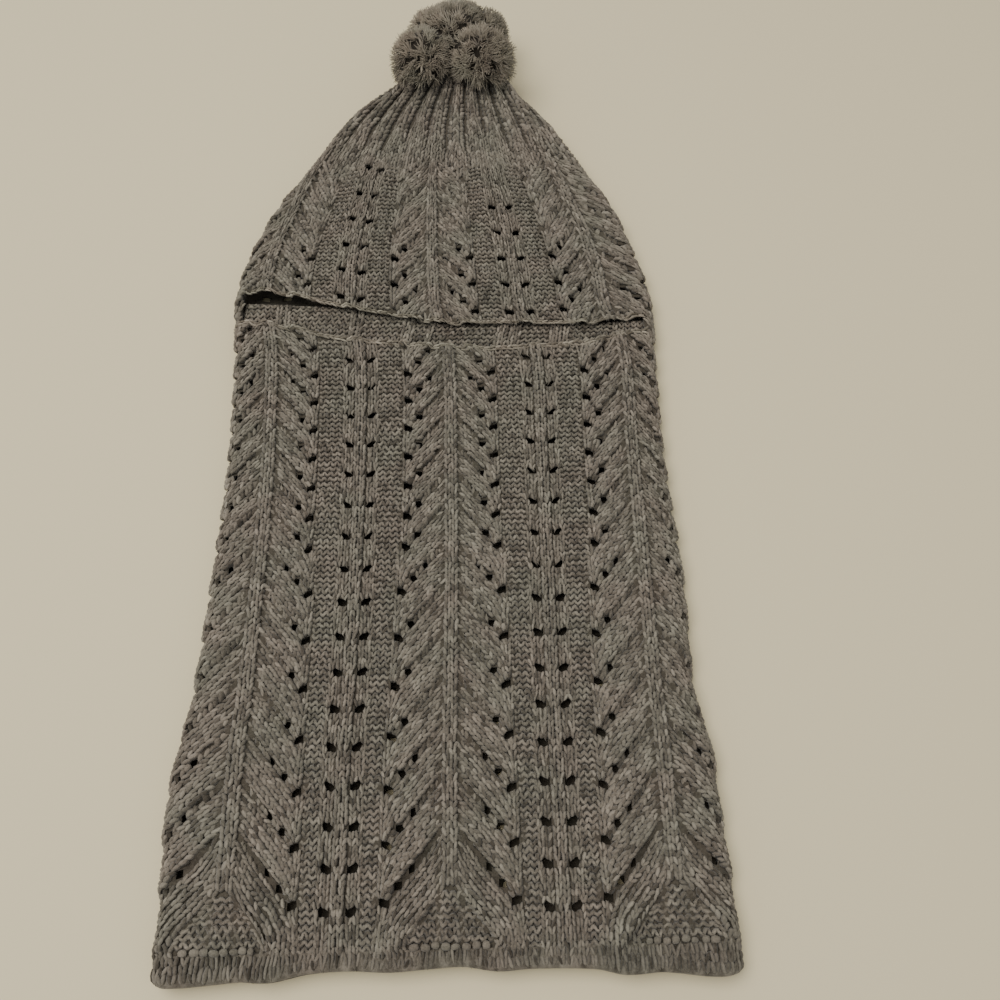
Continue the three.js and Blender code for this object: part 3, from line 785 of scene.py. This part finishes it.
def leaf_columns(spines, reach):
    found = []
    for spine in spines:
        for d, y, width in leaf_paths(SIDE_FOOT if spine else 1):
            for side in (-1, 1):
                column = knit_column(spine + side * d, y, width)
                found.append(column[np.abs(column[:, 0]) <= reach])
    return off_the_slit(np.vstack(found))


def straight_columns(places, low, high, width):
    y = np.linspace(low, high, 60)
    return off_the_slit(np.vstack([knit_column(np.full(len(y), float(s)), y, width) for s in places]))


yarn_leg = leg_template(4, LEG)
front_spines = (-28, 0, 28)
leaf_stitches = leaf_columns(front_spines, FOLDED)
low_leaves = leaf_stitches[leaf_stitches[:, 1] < 170]
high_leaves = leaf_stitches[(leaf_stitches[:, 1] >= 170) & (leaf_stitches[:, 1] < COWL)]
dressed(stitched("cowl_leaves_low", low_leaves, yarn_leg, seed=2), knit_wool, "knit_wool")
dressed(stitched("cowl_leaves_high", high_leaves, yarn_leg, seed=3), knit_wool, "knit_wool")
hood_leaves = leaf_stitches[leaf_stitches[:, 1] >= COWL]
dressed(stitched("hood_leaves", hood_leaves, yarn_leg, seed=4), knit_wool, "knit_wool")

rib_low = HEM + 0.96 * LEAF_DROP
spine_places = [s + o for s in front_spines for o in (-0.48, 0.48)]
twin_places = [t + o for t in (-14, 14) for o in (-0.46, 0.46)]
flank_places = [t + o for t in (-14, 14) for o in (-2.4, -1.5, 1.5, 2.4)]
rib_stitches = np.vstack([
    straight_columns(spine_places, rib_low, CROWN_START, lambda y: gauge_at(y) * 0.98),
    straight_columns(twin_places, HEM - 1, CROWN_START, lambda y: gauge_at(y) * 0.88),
])
dressed(stitched("rib_stitches", rib_stitches, yarn_leg, rise=0.4, seed=5), knit_wool, "knit_wool")
flank_stitches = straight_columns(flank_places, HEM - 1, CROWN_START + 6, lambda y: gauge_at(y) * 0.86)
dressed(stitched("flank_stitches", flank_stitches, yarn_leg, seed=17), knit_wool, "knit_wool")

# Crown: every pleat keeps two columns up to the pompom; the others are knitted together with them
# on the way, at a height of its own for each pleat.
MERGED = 2.4
# columns of a pleat with a rib in it and of a plain one: place at the foot and at the top in
# stitches from the pleat's middle, and whether the column runs on to the pompom
RIB_PLEAT = [(-2.0, -1.5, False), (-0.48, -1.13, True), (0.48, 1.13, True), (2.0, 1.5, False)]
PLAIN_PLEAT = [(-2.1, -1.13, True), (-0.7, -0.4, False), (0.7, 0.4, False), (2.1, 1.13, True)]


def drawn_in(wide, merge):
    """Width of a column that takes in its neighbours at the height where they merge."""
    return lambda y: gauge_at(y) * (wide + (MERGED - wide) * ease(merge - 8, merge + 4, y))


crown_chance = np.random.default_rng(21)
crown_stitches = []
tip_reach = float(leaf_reach(tips[-1]))
for pleat in range(-6, 7):
    middle = pleat * PLEAT
    merge = CROWN_START + crown_chance.uniform(12, 34)
    for start, finish, runs_on in RIB_PLEAT if pleat % 5 == 0 else PLAIN_PLEAT:
        top = TOP - 2 if runs_on else merge
        d = float(from_spine(middle + start))
        plain = d > tip_reach + 1 or d < 0.6
        low = CROWN_START - 4 if plain else float(leaf_line(d, tips[-1])) + 1.5
        y = np.linspace(low, top, 40)
        joined = ease(merge - 10, merge + 2, y)
        offset = start + (finish - start) * joined
        wide = 1.0 if abs(start) == 0.48 else 1.45
        crown_stitches.append(knit_column(middle + offset, y, drawn_in(wide, merge)))
crown_stitches = off_the_slit(np.vstack(crown_stitches))
crown_stitches = crown_stitches[np.abs(crown_stitches[:, 0]) < FOLDED - 0.5]
dressed(stitched("crown_stitches", crown_stitches, yarn_leg, seed=6), knit_wool, "knit_wool")

# Purl panels: the wrong side of the fabric shows between the leaves and the twin columns and above
# the hem, as rows of wavy strands, each a single piece of yarn that dips under its neighbours.
WAVE_STEPS = 6
WAVE_HEIGHT = 0.95
WAVE_RADIUS = 0.95
STRAND_WIDE = 1.45
STRAND_TALL = 0.95
STRAND_LIFT = 0.1


def purl_rows(name, rows, inward=False, seed=7):
    """One wavy strand for each row: its first and last column, and its height or heights."""
    chance = np.random.default_rng(seed)
    turn = np.arange(3) * 2 * np.pi / 3 + np.pi / 2
    pieces = []
    total = 0
    for first, last, height in rows:
        steps = max(int(round((last - first) * WAVE_STEPS)), 4)
        gauge = float(np.mean(gauge_at(height)))
        s = np.linspace(first, last, steps + 1)
        phase = 2 * np.pi * (s - first + chance.uniform(-0.16, 0.16))
        level = np.interp(s, np.linspace(first, last, np.size(height)), np.atleast_1d(height))
        y = level + WAVE_HEIGHT * chance.uniform(0.65, 1.25) * np.cos(phase)
        y += chance.normal(0, 0.18, steps + 1)
        rise = BODY_RISE + 0.25 + 0.3 * np.cos(2 * phase) + chance.normal(0, 0.06, steps + 1)
        rise[0] = rise[-1] = -0.4
        lean = np.arctan(np.gradient(y, s * gauge))
        radius = WAVE_RADIUS * chance.uniform(0.85, 1.15, steps + 1)
        radius[0] = radius[-1] = 0.25
        off = STRAND_WIDE * np.cos(turn) * radius[:, None]
        ring_s = s[:, None] - np.sin(lean)[:, None] * off / gauge
        ring_y = y[:, None] + np.cos(lean)[:, None] * off
        ring_up = rise[:, None] + STRAND_LIFT + STRAND_TALL * np.sin(turn) * radius[:, None]
        k = np.arange(steps)[:, None] * 3
        j, j2 = np.arange(3), (np.arange(3) + 1) % 3
        sleeve = np.stack([k + j2, k + 3 + j2, k + 3 + j, k + j], -1).reshape(-1, 4)
        caps = np.array([[0, 1, 2], [steps * 3 + 2, steps * 3 + 1, steps * 3]])
        tone = np.clip(0.5 + 0.22 * chance.normal(0, 1, steps // 3 + 2), 0, 1)
        tone = np.interp(np.arange(steps + 1) / 3, np.arange(len(tone)), tone)
        pieces.append((
            np.stack([ring_s, ring_y, ring_up], -1).reshape(-1, 3), sleeve + total, caps + total,
            np.repeat(tone, 3),
        ))
        total += (steps + 1) * 3
    points, quads, ends, flecks = (np.concatenate(part) for part in zip(*pieces))
    s, y, up = points.T
    if not inward:
        s, y = draw_aside(s, y, 1.15, 1.0)
    grow = WALL_INSIDE - up if inward else WALL_OUTSIDE + relief(s, y) + up
    turned = slice(None, None, -1) if inward else slice(None)
    return joined_mesh(name, on_cloth(s, y, grow), quads[:, turned], ends[:, turned], flecks)


def panel_rows(low, high):
    rows = []
    for spine in front_spines:
        for side in (-1, 1):
            if abs(spine + side * 10) < FOLDED:
                for height in np.arange(low, high, ROW):
                    inner = spine + side * (float(leaf_reach(height)) + 0.75)
                    outer = spine + side * 11.3
                    rows.append((min(inner, outer), max(inner, outer), height))
    return rows


def clear_of_slit(rows):
    kept_rows = []
    for first, last, height in rows:
        x = on_cloth(np.array([(first + last) / 2]), np.array([height]), 0)[0, 0]
        if not neckline(x) - 2.6 < height < brimline(x) + 2.4:
            kept_rows.append((first, last, height))
    return kept_rows


triangle_rows = []
for height in np.arange(HEM + 4.4, HEM + 0.9 * LEAF_DROP, ROW):
    reach = min(5.6, float(leaf_reach(tips[0])) + 0.5 - (height - tips[0]) / LEAF_STEP)
    for spine in front_spines:
        half = reach * (SIDE_FOOT if spine else 1)
        triangle_rows.append((spine - half, spine + half, height))
cowl_rows = clear_of_slit(panel_rows(HEM + 1, COWL)) + triangle_rows
hood_rows = clear_of_slit(panel_rows(COWL + 1, CROWN_START - 2))
dressed(purl_rows("cowl_purl_panels", cowl_rows, seed=7), knit_wool, "knit_wool")
dressed(purl_rows("hood_purl_panels", hood_rows, seed=8), knit_wool, "knit_wool")

# Inner face of the back layer: the face opening shows it, with ribs and purl rows of its own.
back_scan = np.linspace(FOLDED, HALF_ROUND, 200)
STRIP_LOW = 336.0
STRIP_HIGH = 372.0
STRIP_START = 36
# distance from the front line as a share of the half width
STRIP_RIBS = [
    -0.82, -0.78, -0.47, -0.435, -0.215, -0.185, -0.09,
    0.24, 0.27, 0.305, 0.335, 0.50, 0.53, 0.565, 0.80,
]


def back_column(x, y=COWL):
    """Column of the back layer that lies at a distance from the front line."""
    side = -1 if x < 0 else 1
    places = on_cloth(side * back_scan, np.full(len(back_scan), float(y)), WALL_INSIDE)[:, 0] * side
    return side * float(np.interp(-abs(x), -places, back_scan))


rib_columns = np.array([back_column(share * HALF_WIDTH) for share in STRIP_RIBS])
strip_y = np.linspace(STRIP_LOW, STRIP_HIGH, 20)
strip_ribs = np.vstack([knit_column(np.full(len(strip_y), s), strip_y, 3.5) for s in rib_columns])
back_ribs = stitched("back_face_ribs", strip_ribs, yarn_leg, inward=True, rise=0.3, seed=9)
dressed(back_ribs, knit_wool, "knit_wool")
strip_rows = []
for low_s, high_s in ((-HALF_ROUND, -STRIP_START), (STRIP_START, HALF_ROUND)):
    inner_ribs = np.sort(rib_columns[(rib_columns > low_s) & (rib_columns < high_s)])
    edges = np.concatenate([[low_s], inner_ribs, [high_s]])
    for first, last in zip(edges[:-1], edges[1:]):
        if last - first > 1.3:
            ends = [e if abs(e) == HALF_ROUND else e + i for e, i in ((first, 0.45), (last, -0.45))]
            strip_rows += [(*ends, y) for y in np.arange(STRIP_LOW, STRIP_HIGH, ROW)]
dressed(purl_rows("back_face_purl", strip_rows, inward=True, seed=10), knit_wool, "knit_wool")

# Back of the cloth, which lies on the floor: plain knit columns, pressed flat.
back_places = np.arange(FOLDED + 0.5, HALF_ROUND, 1.0)
back_stitches = np.vstack([
    straight_columns([side * s], HEM, TOP - 12, lambda y: gauge_at(y) * 1.02)
    for side in (-1, 1) for s in back_places
])
dressed(stitched("back_stitches", back_stitches, flat_leg_template(), seed=12), knit_wool, "knit_wool")

# Bound-off edges of the face opening: the last row of loops is chained along each edge, so it lies
# on its side; the cowl's edge is wide and light, the hood's is thin.
front_scan = np.linspace(-FOLDED + 1, FOLDED - 1, 400)


def chained(name, edge, setback, width, pitch, rise, seed):
    x = on_cloth(front_scan, np.full(len(front_scan), COWL), 0)[:, 0]
    within = (x > slit_from) & (x < slit_to)
    s, x = front_scan[within], x[within]
    return stitched(name, knit_column(s, edge(x) + setback, width, pitch), yarn_leg, rise=rise, seed=seed)


edging_wool = wool("heather wool, bound-off edge", "#B7B2A7", "#565148")
neck_chain = chained(
    "neckline_bindoff", neckline, setback=-1.5, width=3.0, pitch=3.3, rise=0.35, seed=13,
)
dressed(neck_chain, edging_wool, "edging_wool", "neckline_edging")
brim_chain = chained(
    "brim_bindoff", brimline, setback=1.4, width=2.3, pitch=3.0, rise=0.1, seed=14,
)
dressed(brim_chain, edging_wool, "edging_wool", "brim_edging")

# Turned hem: the fabric is folded under and knitted to itself, which leaves a row of purl bumps
# over a groove, then short upright stitches down to the rounded, wavy fold.
HEM_WAVE = 7.0
HEM_STITCH_WIDE = 3.1
HEM_STITCH_TALL = 4.0
# place across, rise of the lower edge as a share of the wave's depth
HEM_EDGE = np.array([
    (-1.12, 0.60),
    (-1.04, 0.22),
    (-0.92, 0.28),
    (-0.77, 0.46),
    (-0.67, 0.36),
    (-0.52, 0.82),
    (-0.37, 0.92),
    (-0.23, 0.78),
    (-0.10, 0.90),
    (0.04, 1.00),
    (0.17, 0.68),
    (0.30, 0.79),
    (0.53, 0.66),
    (0.64, 0.28),
    (0.78, 0.38),
    (0.97, 0.03),
    (1.05, 0.20),
    (1.10, 0.55),
])
# height as a share of the hem, rise off the cloth in millimetres
HEM_SECTION = [
    (1.06, -2.2),
    (0.99, -1.9),
    (0.90, -2.7),
    (0.62, -1.9),
    (0.30, -0.8),
    (0.12, -0.9),
    (0.03, -1.5),
    (0.00, -2.3),
    (0.03, -3.0),
    (0.30, -3.9),
    (1.06, -3.9),
]


def hem_low_edge(s):
    x = on_cloth(s, np.full(np.shape(s), HEM), 0)[..., 0]
    return smooth_read(HEM_EDGE, 1, x / HALF_WIDTH) * HEM_WAVE


hem_columns = np.arange(-HALF_ROUND, HALF_ROUND, 0.5)
low_edge = hem_low_edge(hem_columns)
rings = []
for share, grow in HEM_SECTION:
    y = low_edge + share * (HEM - low_edge)
    rings.append(on_cloth(hem_columns, y, np.full(len(hem_columns), grow)))
hem_points = np.stack(rings, 1).reshape(-1, 3)
around, along = len(HEM_SECTION), len(hem_columns)
i, j = np.meshgrid(np.arange(along), np.arange(around), indexing="ij")
i2, j2 = (i + 1) % along, (j + 1) % around
hem_corners = i * around + j, i * around + j2, i2 * around + j2, i2 * around + j
hem_quads = np.stack(hem_corners, -1).reshape(-1, 4)
# The hem's wool is a darker copy of the stitches' wool: painted shade for the band below the groove, which
# curls under.
hem_wool = wool("heather wool, turned hem, painted shade", "#938E86", "#413D37")
hem_tone = np.random.default_rng(18).normal(0.45, 0.17, len(hem_columns))
hem = joined_mesh("hem_knit", hem_points, hem_quads, None, np.repeat(hem_tone, len(HEM_SECTION)))
dressed(hem, hem_wool, "hem_wool", "hem_band")

hem_strokes = []
for s in np.arange(-FOLDED, FOLDED + 0.1, 1.0):
    base = float(hem_low_edge(np.array([s]))[0])
    ends = [base + 1.7, HEM - 0.2]
    hem_strokes.append(knit_column([s, s], ends, HEM_STITCH_WIDE, HEM_STITCH_TALL))
hem_strokes = np.vstack(hem_strokes)
# The hem's stitches take the same painted shade as the hem.
dressed(stitched("hem_stitches", hem_strokes, yarn_leg, rise=0.2, seed=15), hem_wool, "hem_wool")
# across and half width in pairs of bumps, along in bumps, rise and half height in millimetres
BUMP = [
    (0.25, 0.05, -0.54, -0.5, 0.15),
    (0.25, 0.20, -0.34, 0.3, 0.9),
    (0.25, 0.245, 0.00, 0.5, 1.1),
    (0.25, 0.20, 0.34, 0.3, 0.9),
    (0.25, 0.05, 0.54, -0.5, 0.15),
]
BUMP_PAIR = 9.2
BUMP_TALL = 3.4
bump_rows = []
for spine in front_spines:
    pair = BUMP_PAIR * (SIDE_FOOT if spine else 1)
    for step in (-1.5, -0.5, 0.5, 1.5):
        bump_rows.append((spine + step * pair / GAUGE, HEM + 1.5, 0.0, pair, BUMP_TALL))
bumps = np.array(bump_rows)
ridge = stitched("hem_ridge", bumps, leg_template(6, BUMP), rise=0.9, seed=16, mottle=0.07)
dressed(ridge, knit_wool, "knit_wool")

# Pompom: cut ends of yarn, tied in the middle and fluffed out, so the plies part into fine soft fibres. It
# has flopped into lobes round a middle that is painted dark, as the shade deep among the fibres.
POMPOM_MIDDLE = np.array([4.3, 568.5, 23.3])
POMPOM = 27.5
# centre of a lobe from the pompom's middle and its radius, as shares of the pompom's own radius
LOBES = np.array([
    (-0.74, -0.99, 0.47, 0.77),
    (0.70, -0.97, 0.44, 0.81),
    (0.20, 0.36, 0.10, 0.80),
    (0.73, 0.38, 0.04, 0.67),
    (-0.46, 0.42, 0.00, 0.69),
    (-0.02, -0.62, 0.30, 0.72),
    (0.00, -0.10, 0.36, 0.86),
    (0.30, 0.00, -0.20, 0.62),
]) * POMPOM
TUFT_FIBRES = 12
TUFTS = 1130
TUFT_BEND = 2.3
FIBRE_BEND = 2.0
FIBRE = 0.36
ROOT = 0.8
CORE = 0.84
TRIES_FOR_TUFT = 6
# tufts of the two lower lobes below and behind these limits would press into the crown
UNDER_ACROSS = 33
UNDER_FRONT = -17
UNDER_TOP = 10.5
# stations along a fibre: share of its length, share of its bend, thickness as a share of FIBRE
FIBRE_STATIONS = np.array([
    (0.62, -0.40, 1.3),
    (0.84, 0.35, 1.1),
    (1.00, 1.00, 0.4),
])


def lobe_reach(directions):
    """Distance from the pompom's middle to the outside of its lobes."""
    centres, radii = LOBES[:, :3], LOBES[:, 3]
    along = directions @ centres.T
    inside = along ** 2 - (centres ** 2).sum(1) + radii ** 2
    far = np.where(inside > 0, along + np.sqrt(np.maximum(inside, 0)), 0)
    return np.maximum(far.max(1), 9)


bpy.ops.object.select_all(action="DESELECT")
bpy.ops.mesh.primitive_ico_sphere_add(subdivisions=5, radius=1, location=(0, 0, 0))
core = bpy.context.object
core.name = "pompom_core"
directions = np.array([v.co for v in core.data.vertices])
rng = np.random.default_rng(11)
core_reach = lobe_reach(directions) * rng.normal(CORE, 0.02, len(directions))
core_points = directions * core_reach[:, None] + POMPOM_MIDDLE
core_points[:, 2] = np.maximum(core_points[:, 2], 0.6)
core_points = (core_points + np.array([FRONT_LINE, HEM_LINE, 0])) * 0.001
core.data.vertices.foreach_set("co", core_points.ravel())
core.data.update()
bpy.ops.object.shade_smooth()
# The middle's wool is painted near black: shade between the fibres and the dark crescents under the two
# lower lobes.
core_wool_painted_shade = wool("heather wool, pompom's middle, painted shade", "#5E5951", "#2A2723")
dressed(core, core_wool_painted_shade, "pompom_wool", "pompom")

spread = LOBES[:, 3] ** 2
lobe_of = rng.choice(len(LOBES), TUFTS * TRIES_FOR_TUFT, p=spread / spread.sum())
tuft_way = rng.normal(0, 1, (len(lobe_of), 3))
tuft_way /= np.linalg.norm(tuft_way, axis=1)[:, None]
tuft_tip = LOBES[lobe_of, :3] + tuft_way * LOBES[lobe_of, 3:]
from_lobes = np.linalg.norm(tuft_tip[:, None] - LOBES[None, :, :3], axis=2)
outer = (from_lobes > LOBES[:, 3] - 0.4).all(1) & (tuft_tip[:, 2] > 1 - POMPOM_MIDDLE[2])
under = np.abs(tuft_tip[:, 0]) < UNDER_ACROSS
under &= (tuft_tip[:, 1] < UNDER_FRONT) & (tuft_tip[:, 2] < UNDER_TOP)
outer &= (lobe_of > 1) | ~under
tuft_tip, lobe_of = tuft_tip[outer][:TUFTS], lobe_of[outer][:TUFTS]
tufts = len(tuft_tip)
count = tufts * TUFT_FIBRES
root = np.repeat(LOBES[lobe_of, :3] * ROOT, TUFT_FIBRES, axis=0)
tip = np.repeat(tuft_tip, TUFT_FIBRES, axis=0) * rng.uniform(0.93, 1.0, (count, 1))
way = tip - root
length = np.linalg.norm(way, axis=1)[:, None]
way /= length
bend = np.repeat(rng.normal(0, TUFT_BEND, (tufts, 3)), TUFT_FIBRES, axis=0)
bend += rng.normal(0, FIBRE_BEND, (count, 3))
bend -= (bend * way).sum(1)[:, None] * way
steps, curl, thickness = FIBRE_STATIONS.T
path = root[:, None] + (way * length)[:, None] * steps[None, :, None] + bend[:, None] * curl[None, :, None]
side_way = np.cross(way, np.array([0.3, 0.2, 0.93]))
side_way /= np.linalg.norm(side_way, axis=1)[:, None]
other_way = np.cross(way, side_way)
corner = np.arange(3) * 2 * np.pi / 3
thin = FIBRE * thickness
ring = (
    side_way[:, None, None] * np.cos(corner)[None, None, :, None]
    + other_way[:, None, None] * np.sin(corner)[None, None, :, None]
) * thin[None, :, None, None]
fibre_points = (path[:, :, None] + ring).reshape(-1, 3) + POMPOM_MIDDLE
fibre_points[:, 2] = np.maximum(fibre_points[:, 2], 0.2)
base = (np.arange(count) * 9)[:, None, None, None]
k, j = np.meshgrid(np.arange(2) * 3, np.arange(3), indexing="ij")
j2 = (j + 1) % 3
fibre_quads = (np.stack([k + j, k + j2, k + 3 + j2, k + 3 + j], -1)[None] + base).reshape(-1, 4)
ends = np.array([[2, 1, 0], [6, 7, 8]])[None] + base[..., 0]
fibre_flecks = np.repeat(np.clip(0.5 + 0.2 * rng.normal(0, 1, tufts), 0, 1), TUFT_FIBRES * 9)
pompom_wool = wool("heather wool, cut pile", "#B7B1A6", "#767168", 0.5)
fibres = joined_mesh("pompom_fibres", fibre_points, fibre_quads, ends.reshape(-1, 3), fibre_flecks)
dressed(fibres, pompom_wool, "pompom_wool")

low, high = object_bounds()
